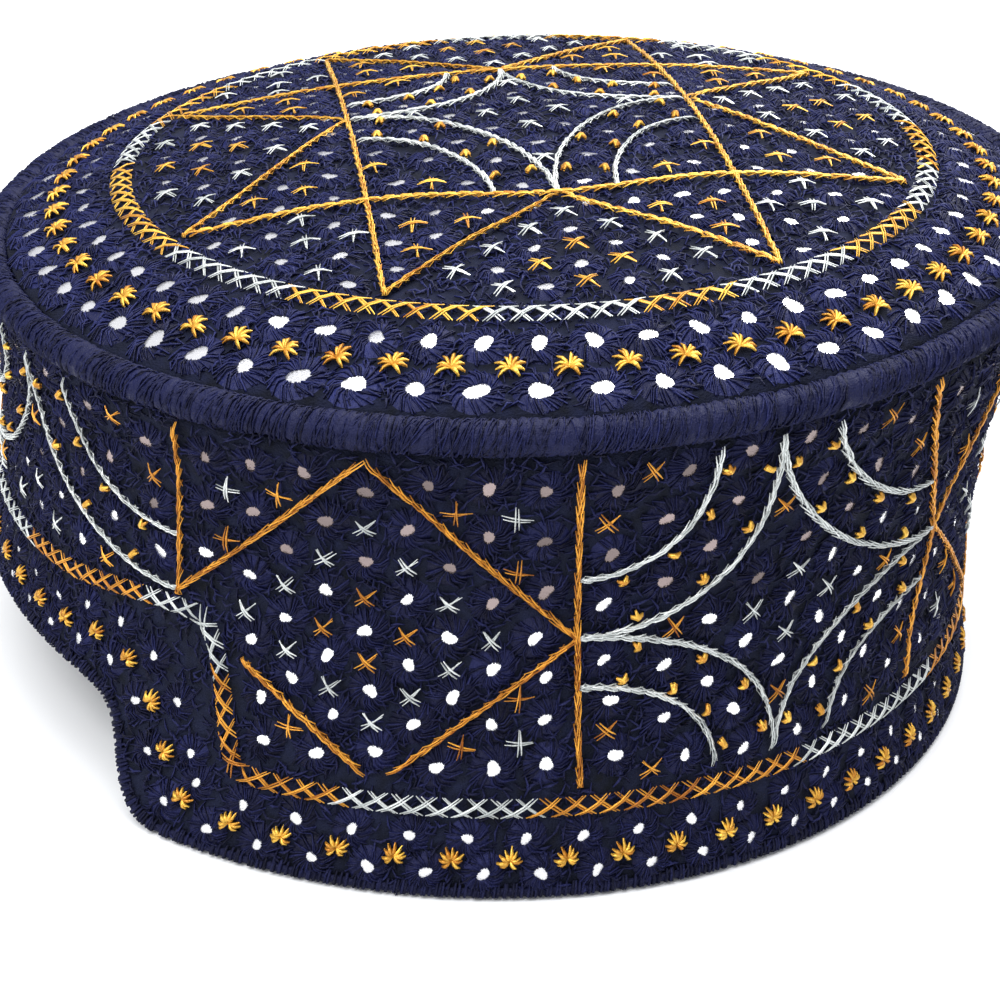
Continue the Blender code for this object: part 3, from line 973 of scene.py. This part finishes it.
def diamond_panel(number):
    for a in (0.1, 0.3, 0.5, 0.7, 0.9):
        for b in (0.1, 0.3, 0.5, 0.7, 0.9):
            wall_mirrors.append(in_panel(number, a - b, 1.0 - (a + b)))
    for a in (0.2, 0.4, 0.6, 0.8):
        for b in (0.2, 0.4, 0.6, 0.8):
            inner = a in (0.4, 0.6) and b in (0.4, 0.6)
            (wall_gold_x if inner else wall_silver_x).append(in_panel(number, a - b, 1.0 - (a + b)))
    for corner in CORNERS:
        for place_here in CORNER_MIRRORS:
            wall_mirrors.append(from_corner(number, corner, *place_here))
        for share_across, share_up, gold in CORNER_CROSSES:
            store = wall_gold_plus if gold else wall_silver_plus
            store.append(from_corner(number, corner, share_across, share_up))
        side = np.linspace(0.0, 1.0, 60)
        edge_line = [in_panel(number, corner[0] * k, corner[1] * (1 - k)) for k in side]
        keep_line(edge_line, gold_lines, cut_short(number, corner))


def arc_panel(number):
    for corner in CORNERS:
        for share in (SMALL_ARC, 1.0):
            arc = [from_corner(number, corner, *point) for point in quarter_turn(share)]
            keep_line(arc, silver_lines, cut_short(number, corner))
        for place_here in ARC_CORNER_MIRRORS:
            wall_mirrors.append(from_corner(number, corner, *place_here))
        for place_here in ARC_CORNER_CROSSES:
            wall_gold_x.append(from_corner(number, corner, *place_here))
        for turn in np.radians(BETWEEN_ARCS):
            wall_mirrors.append(from_corner(number, corner, 0.84 * math.cos(turn), 0.84 * math.sin(turn)))
        for turn in np.radians(KNOT_TURNS):
            for share in (SMALL_ARC + 0.055, 0.945):
                wall_knots.append(from_corner(number, corner, share * math.cos(turn), share * math.sin(turn)))
    middle, height = in_panel(number, 0.0, 0.0)
    for a in (-1, 0, 1):
        for b in (-1, 0, 1):
            wall_mirrors.append((middle + (a - b) * 7.3, height - (a + b) * 5.2))
    for a in (-0.5, 0.5):
        for b in (-0.5, 0.5):
            wall_silver_x.append((middle + (a - b) * 7.3, height - (a + b) * 5.2))
    for across, up in ((-0.58, 0.0), (0.58, 0.0), (0.0, 0.58), (0.0, -0.62)):
        wall_gold_x.append(in_panel(number, across, up))


for number in range(8):
    (diamond_panel if number % 2 else arc_panel)(number)
    keep_line([in_panel(number, -1.0, up) for up in np.linspace(1.02, -1.0, 60)], gold_lines)
print("wall:", len(wall_mirrors), "mirrors before the notch cuts some away")

# %% Stitch the wall
def kept(points, margin=3.4):
    return np.array([point for point in points if clear_of_braid(point[0], point[1], margin)])


wall_places = kept(wall_mirrors, 3.9)
# the top of the wall overhangs a little, so chips there mirror the dim room
in_shade = wall_places[:, 1] > 50.0 + seeded.normal(0, 3.0, len(wall_places))
add_eyelets("wall_panel", on_wall, wall_places, 3.8, 1.02, NAVY_WALL, shaded=in_shade)
# The wall's gold lines and gold crosses take the darker gold with painted shade.
chart, faces = gathered([stem_line(line) for line in gold_lines])
add_piece("wall_gold_lines", on_wall(chart), faces, PAINTED_SHADE_GOLD)
chart, faces = gathered([stem_line(line) for line in silver_lines])
add_piece("wall_silver_arcs", on_wall(chart), faces, SILVER)
chart, faces = gathered([crosses(kept(wall_gold_x), 2.0, 45.0), crosses(kept(wall_gold_plus), 2.2, 0.0)])
add_piece("wall_gold_crosses", on_wall(chart), faces, PAINTED_SHADE_GOLD)
chart, faces = gathered([crosses(kept(wall_silver_x), 2.0, 45.0), crosses(kept(wall_silver_plus), 2.2, 0.0)])
add_piece("wall_silver_crosses", on_wall(chart), faces, SILVER)


def knots(centres):
    """A knot is three short fat strands that start together."""
    centres = np.asarray(centres, float)
    parts = []
    for _ in range(3):
        turn = seeded.uniform(0, 2 * np.pi, len(centres))
        reach = np.column_stack((np.cos(turn), np.sin(turn))) * 0.95
        parts.append(strands(centres - reach, centres + reach, 0.44, 0.6, base=0.85, sides=4))
    return gathered(parts)


chart, faces = knots(kept(wall_knots, 2.6))
add_piece("wall_knots", on_wall(chart), faces, GOLD)

# %% [markdown]
# ## The crown's field
# Four gold chords make a square in the middle of the crown and run on to the braid. The square holds
# the same silver arcs as the wall, and gold lines fan from the middle of each of its sides to the ends
# of the chords.

# %% Crown field
SQUARE = 29.5
CHORD_END = 65.2
TIP = math.sqrt(CHORD_END ** 2 - SQUARE ** 2)
crown_mirrors = []
crown_gold_x = []
crown_silver_x = []
crown_gold_plus = []
crown_silver_plus = []
crown_knots = []
crown_gold_lines = []
crown_silver_lines = []


def quarter_turns(p, q):
    """A place given outwards and sideways from the middle of the crown, in each of four quarters."""
    return [(p, q), (-q, p), (-p, -q), (q, -p)]


# outward from the side of the square and sideways from its middle, in mm
SIDE_MIRRORS = ((4.8, 11.5), (4.8, 19.5), (4.8, 26.6), (12.5, 20.2), (13.5, 26.8), (21.5, 27.0), (3.4, 4.2))
SIDE_CROSSES = ((8.6, 15.0), (9.2, 23.3), (17.3, 23.6))
for p, q in SIDE_MIRRORS:
    for side in (1, -1):
        crown_mirrors += quarter_turns(SQUARE + p, q * side)
for p, q in SIDE_CROSSES:
    for side in (1, -1):
        crown_gold_plus += quarter_turns(SQUARE + p, q * side)
FIELD_STEP = 6.1
for i in range(5):
    for j in range(-4, 5):
        p = 6.6 + FIELD_STEP * i
        q = 6.2 * j
        inside = abs(q) < p * 29.5 / TIP * SQUARE / 29.5 * (TIP / (TIP - SQUARE)) - 3.0
        if not inside or math.hypot(SQUARE + p, q) > CHORD_END - 2.5:
            continue
        if (i + j) % 2:
            crown_mirrors += quarter_turns(SQUARE + p, q)
        elif abs(j) <= 1 and i > 1:
            crown_gold_x += quarter_turns(SQUARE + p, q)
        else:
            crown_silver_x += quarter_turns(SQUARE + p, q)
for p, q in ((5.6, 5.6), (15.2, 5.4), (5.4, 15.2), (14.2, 14.0), (24.0, 4.9), (4.9, 24.0)):
    crown_mirrors += quarter_turns(SQUARE + p, SQUARE + q)
for p, q in ((10.2, 10.0), (10.4, 2.9), (2.9, 10.4), (19.8, 9.0), (9.0, 19.8)):
    crown_silver_plus += quarter_turns(SQUARE + p, SQUARE + q)

# %% Crown square, chords and fans
for corner_x in (-1, 1):
    for corner_y in (-1, 1):
        corner = (SQUARE * corner_x, SQUARE * corner_y)
        for share in (SMALL_ARC, 1.0):
            crown_silver_lines.append(np.array(corner) * (1 - quarter_turn(share)))
        for across, up in ARC_CORNER_MIRRORS:
            crown_mirrors.append((corner[0] * (1 - across), corner[1] * (1 - up)))
        for across, up in ARC_CORNER_CROSSES:
            crown_gold_plus.append((corner[0] * (1 - across), corner[1] * (1 - up)))
        for turn in np.radians(BETWEEN_ARCS):
            heading = np.array((math.cos(turn), math.sin(turn)))
            crown_mirrors.append(tuple(np.array(corner) * (1 - 0.84 * heading)))
        for turn in np.radians(KNOT_TURNS):
            heading = np.array((math.cos(turn), math.sin(turn)))
            for share in (SMALL_ARC + 0.06, 0.94):
                crown_knots.append(tuple(np.array(corner) * (1 - share * heading)))
for a in (-1, 0, 1):
    for b in (-1, 0, 1):
        crown_mirrors.append(((a - b) * 6.2, (a + b) * 6.2))
for a in (-0.5, 0.5):
    for b in (-0.5, 0.5):
        crown_silver_x.append(((a - b) * 6.2, (a + b) * 6.2))
for p, q in quarter_turns(SQUARE * 0.62, 0.0):
    crown_silver_x.append((p, q))
reach = np.linspace(-1.0, 1.0, 120)
for side in (-1, 1):
    crown_gold_lines.append(np.column_stack((reach * TIP, np.full(120, SQUARE * side))))
    crown_gold_lines.append(np.column_stack((np.full(120, SQUARE * side), reach * TIP)))
    for p, q in zip(quarter_turns(SQUARE, 0.0), quarter_turns(TIP, SQUARE * side)):
        share = np.linspace(0.0, 1.0, 30)[:, None]
        crown_gold_lines.append(np.array(p) + (np.array(q) - np.array(p)) * share)

# the soft crown sags between the ridge of its fold and its edge, and the stitches have moved with it:
# the place (mm), how far its stitches have moved in X, and how wide the stretch is that moved
DRIFTS = ((29.5, 0.0, 4.4, 14.0), (0.0, 29.5, -7.0, 16.0), (0.0, -29.5, -7.5, 16.0))


def drifted(points):
    moved = np.array(points, float)
    start = moved.copy()
    for x, y, by, wide in DRIFTS:
        near = np.hypot(start[:, 0] - x, start[:, 1] - y) / wide
        moved[:, 0] += by * np.exp(-near ** 2 / 2)
    return moved


add_eyelets("crown_field", on_crown, drifted(crown_mirrors), 3.45, 1.12, NAVY_CROWN)
chart, faces = gathered([stem_line(drifted(line)) for line in crown_gold_lines])
add_piece("crown_gold_lines", on_crown(chart), faces, GOLD)
chart, faces = gathered([stem_line(drifted(line)) for line in crown_silver_lines])
add_piece("crown_silver_arcs", on_crown(chart), faces, SILVER)
gold_x = crosses(drifted(crown_gold_x), 2.2, 45.0)
gold_plus = crosses(drifted(crown_gold_plus), 2.2, 0.0)
chart, faces = gathered([gold_x, gold_plus])
add_piece("crown_gold_crosses", on_crown(chart), faces, GOLD)
silver_x = crosses(drifted(crown_silver_x), 2.2, 45.0)
silver_plus = crosses(drifted(crown_silver_plus), 2.2, 0.0)
chart, faces = gathered([silver_x, silver_plus])
add_piece("crown_silver_crosses", on_crown(chart), faces, SILVER)
chart, faces = knots(drifted(crown_knots))
add_piece("crown_knots", on_crown(chart), faces, GOLD)
print("crown:", len(crown_mirrors), "field mirrors")

# %% [markdown]
# ## Filling stitches
# Dark blue stitches fill the cloth between the eyelets. They lie every way, so short strands with a
# seeded scatter stand for them. They keep the base cloth from showing as a plain sheet.

# %% Filling
def filling(spots, length, radius, lift):
    turn = seeded.uniform(0, 2 * np.pi, len(spots))
    long = length * seeded.uniform(0.6, 1.3, len(spots))
    reach = np.column_stack((np.cos(turn), np.sin(turn))) * long[:, None]
    bend = seeded.normal(0, 0.35, len(spots))
    return strands(spots - reach / 2, spots + reach / 2, radius, lift * seeded.uniform(0.6, 1.3, len(spots)),
                   base=0.1, sections=3, bend=bend)


def edge_height(u):
    """Height of the cut edge at a place round the wall."""
    half = EDGE[: len(EDGE) // 2]
    return np.interp(np.abs(u), half[::-1, 0], half[::-1, 1])


def outside_windows(spots, centres, clear):
    """Only the spots that lie clear of every mirror."""
    nearest = np.full(len(spots), 1e9)
    for centre in centres:
        away_x = (spots[:, 0] - centre[0] + ROUND / 2) % ROUND - ROUND / 2
        nearest = np.minimum(nearest, np.hypot(away_x, spots[:, 1] - centre[1]))
    return spots[nearest > clear]


FILL_WALL = 17000
FILL_CROWN = 12000
around_wall = seeded.uniform(-ROUND / 2, ROUND / 2, FILL_WALL)
low = edge_height(around_wall)
up = low + 1.2 + (WALL_HEIGHT - 1.0 - low) * seeded.uniform(0, 1, FILL_WALL)
spots = np.column_stack((around_wall, up))
spots = outside_windows(spots, np.concatenate(covered["wall"]), 2.6)
chart, faces = filling(spots, 2.6, 0.22, 0.55)
add_piece("wall_filling", on_wall(chart), faces, NAVY_WALL)
radius = CROWN_EDGE * 0.985 * np.sqrt(seeded.uniform(0, 1, FILL_CROWN))
angle = seeded.uniform(0, 2 * np.pi, FILL_CROWN)
spots = np.column_stack((radius * np.cos(angle), radius * np.sin(angle)))
spots = outside_windows(spots, np.concatenate(covered["crown"]), 2.5)
chart, faces = filling(spots, 2.4, 0.22, 0.6)
add_piece("crown_filling", on_crown(chart), faces, NAVY_CROWN)

# %% [markdown]
# ## The padded roll
# The seam between crown and wall is hidden by a roll of padding wound tightly with navy thread. The
# winding is built as a ring whose skin rises and falls with each turn of the thread, slightly slanted.

# %% Seam roll
def make_roll():
    turns_of_thread = 330
    around = turns_of_thread * 4
    sides = 12
    across = WELT_THICK / 2
    middle = SEAM_RADIUS + WELT_PROUD - across
    height = WALL_HEIGHT + PIECE_GAP + across
    angle = np.linspace(0, 2 * np.pi, around, endpoint=False)
    small = np.linspace(0, 2 * np.pi, sides, endpoint=False)
    wave = np.cos(angle[:, None] * turns_of_thread + small[None] * 1.2)
    drift = 0.16 * np.sin(angle[:, None] * 23.0) + 0.10 * np.sin(angle[:, None] * 61.0 + small[None])
    swell = across + 0.13 * wave + drift * 0.8 + seeded.normal(0, 0.05, (around, sides))
    radius = middle + swell * np.cos(small)[None]
    plain = np.stack((
        radius * np.sin(angle)[:, None],
        -radius * np.cos(angle)[:, None],
        height + swell * np.sin(small)[None],
    ), axis=-1).reshape(-1, 3)
    faces = grid_faces(around, sides, wrap_rows=True, wrap_columns=True)
    roll = add_piece("padded_roll", settled(plain), faces, ROLL_THREAD, "seam_welt")


make_roll()

# %% Windings on the roll
def make_windings():
    """Loose single turns of thread over the roll, each a slanted half hoop."""
    count = 1500
    across = WELT_THICK / 2 + 0.18
    middle = SEAM_RADIUS + WELT_PROUD - WELT_THICK / 2
    height = WALL_HEIGHT + PIECE_GAP + WELT_THICK / 2
    centre = seeded.uniform(0, 2 * np.pi, count)
    slant = seeded.normal(0.012, 0.012, count)
    sections = 6
    share = np.linspace(-1.0, 1.0, sections)
    small = share[None] * 1.9 + seeded.uniform(-0.4, 0.7, count)[:, None]
    angle = centre[:, None] + slant[:, None] * share[None]
    thick = 0.22 * (0.4 + 0.6 * np.cos(share * 1.4))[None] * seeded.uniform(0.8, 1.2, count)[:, None]
    turn = np.linspace(0, 2 * np.pi, 3, endpoint=False)
    ring_radius = across + thick[..., None] * np.cos(turn)
    hoop_angle = angle[..., None] + thick[..., None] * np.sin(turn) / SEAM_RADIUS
    radius = middle + ring_radius * np.cos(small)[..., None]
    plain = np.stack((
        radius * np.sin(hoop_angle),
        -radius * np.cos(hoop_angle),
        height + ring_radius * np.sin(small)[..., None],
    ), axis=-1).reshape(-1, 3)
    faces = repeated(grid_faces(sections, 3, wrap_columns=True), count, sections * 3)
    return add_piece("roll_windings", settled(plain), faces, ROLL_THREAD)


make_windings()

# %% [markdown]
# ## The hem
# The cut edge is overcast: each stitch goes over the edge from the outer face to the inner face. A soft
# core follows the edge, and the stitches wrap it.

# %% Hem
def hem_ring(line, across, up, out):
    """Points of one line of the hem: moved into the cloth and across it."""
    moved = moved_in(line, up)
    return np.column_stack((moved, np.full(len(line), out)))


def make_hem():
    line = EDGE[:-1]
    section = ((0.0, -1.9), (0.0, -0.6), (0.7, 0.35), (1.7, 0.45), (1.7, -3.0), (0.7, -2.9))
    rings = np.stack([hem_ring(line, 0, up, out) for up, out in section], axis=1)
    faces = grid_faces(len(line), len(section), wrap_rows=True, wrap_columns=True)
    return add_piece("hem_core", on_wall(rings.reshape(-1, 3)), faces, HEM_THREAD, "hem_edging")


def make_overcast():
    count = 820
    line, _, _ = evenly(EDGE, count)
    path = ((2.5, 0.25), (1.6, 0.75), (0.55, 0.55), (0.12, -0.6), (0.12, -1.8), (0.6, -3.0), (1.8, -3.15))
    jitter = seeded.normal(0, 0.25, count)
    turn = np.linspace(0, 2 * np.pi, 4, endpoint=False)
    points = np.empty((count, len(path), 4, 3))
    ahead = np.roll(line, -1, axis=0)
    ahead[-1] = line[-1] + (line[-1] - line[-2])
    run = ahead - line
    run /= np.hypot(*run.T)[:, None]
    for k, (up, out) in enumerate(path):
        centre = moved_in(line + run * (0.35 * k / len(path) + jitter)[:, None], up * 1.0)
        for s, side in enumerate(turn):
            points[:, k, s, :2] = centre + run * 0.24 * math.cos(side)
            points[:, k, s, 2] = out + 0.16 * math.sin(side)
    faces = repeated(grid_faces(len(path), 4, wrap_columns=True), count, len(path) * 4)
    chart = points.reshape(-1, 3)
    chart[:, 1] = np.maximum(chart[:, 1], 0.02)
    return add_piece("hem_overcast", on_wall(chart), faces, HEM_THREAD)


make_hem()
make_overcast()

# %% [markdown]
# ## Floor
# A plain pale cloth lies under the cap.

# %% Floor
def make_floor():
    mesh = bpy.data.meshes.new("floor")
    half = 2.0
    corners = [(-half, -half, 0), (half, -half, 0), (half, half, 0), (-half, half, 0)]
    mesh.from_pydata(corners, [], [(0, 1, 2, 3)])
    material = bpy.data.materials.new("pale_cloth")
    material.use_nodes = True
    shader = material.node_tree.nodes["Principled BSDF"]
    shader.inputs["Base Color"].default_value = (0.80, 0.81, 0.82, 1.0)
    shader.inputs["Roughness"].default_value = 0.9
    mesh.materials.append(material)
    floor = bpy.data.objects.new("floor", mesh)
    scene.collection.objects.link(floor)
    floor.location.z = -0.0002


make_floor()
